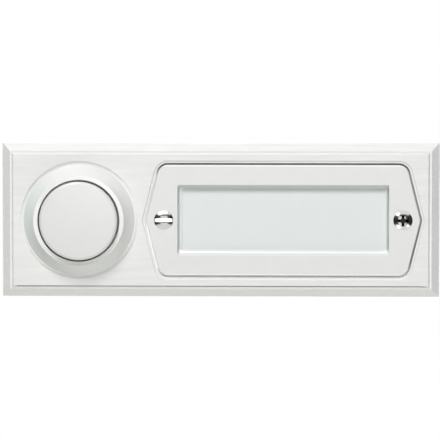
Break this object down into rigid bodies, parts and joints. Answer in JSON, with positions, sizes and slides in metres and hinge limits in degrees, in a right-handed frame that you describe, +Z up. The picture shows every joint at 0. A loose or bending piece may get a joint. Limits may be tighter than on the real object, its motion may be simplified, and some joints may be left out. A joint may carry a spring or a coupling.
{
  "type": "doorbell push button",
  "caption": "Wall-mounted doorbell plate: a round push button in a raised flared collar beside a pointed name frame with a clear window, screwed to a moulded base.",
  "frame": {"origin": "centre of the plate's outline on the wall plane, on the back of the base", "axes": "+X along the plate towards the name window's end, +Z up the wall, -Y out of the wall towards the person who rings"},
  "size_m": [0.1304, 0.0207, 0.0462],
  "materials": {
    "white_lacquer": "satin white lacquer over a casting, very fine streaks",
    "white_lacquer_smooth": "smooth satin white lacquer",
    "button_white": "smooth satin white",
    "white_plastic": "moulded, matt",
    "black_plastic": "moulded, matt black",
    "grey_plastic": "moulded, matt grey",
    "clear_pane": "clear, faintly blue-green at its edges",
    "card": "blank matt card",
    "bright_plating": "bright plated",
    "plated_steel": "zinc plated",
    "spring_steel": "drawn wire",
    "brass": "plain turned or pressed",
    "black_rubber": "matt"
  },
  "bodies": {
    "housing": {"front_plate": "white_lacquer", "button_collar": "white_lacquer_smooth", "name_frame": "white_lacquer_smooth", "collar_nut": "brass", "return_spring": "spring_steel", "switch_housing": "black_plastic", "contact_carrier": "black_plastic", "fixed_contact_upper": "brass", "fixed_contact_lower": "brass", "terminal_washer_upper": "plated_steel", "terminal_washer_lower": "plated_steel", "terminal_screw_upper": "plated_steel", "terminal_screw_lower": "plated_steel", "housing_screw_upper": "plated_steel", "housing_screw_lower": "plated_steel", "window_pane": "clear_pane", "name_card": "card", "card_tray": "white_plastic", "frame_screw_left": "bright_plating", "frame_screw_right": "bright_plating", "base_plate": "grey_plastic", "thread_insert_left": "brass", "thread_insert_right": "brass", "cable_grommet": "black_rubber"},
    "button": {"button_cap": "button_white", "button_plunger": "white_plastic", "contact_bridge": "brass", "bridge_clip": "spring_steel"}
  },
  "joints": [
    {"name": "button_press", "type": "slide", "parent": "housing", "child": "button", "axis": [0, 1, 0], "range_m": [0, 0.0018], "stiffness_N_per_m": 800, "springref_m": -0.00125, "deforming": ["return_spring"]}
  ]
}
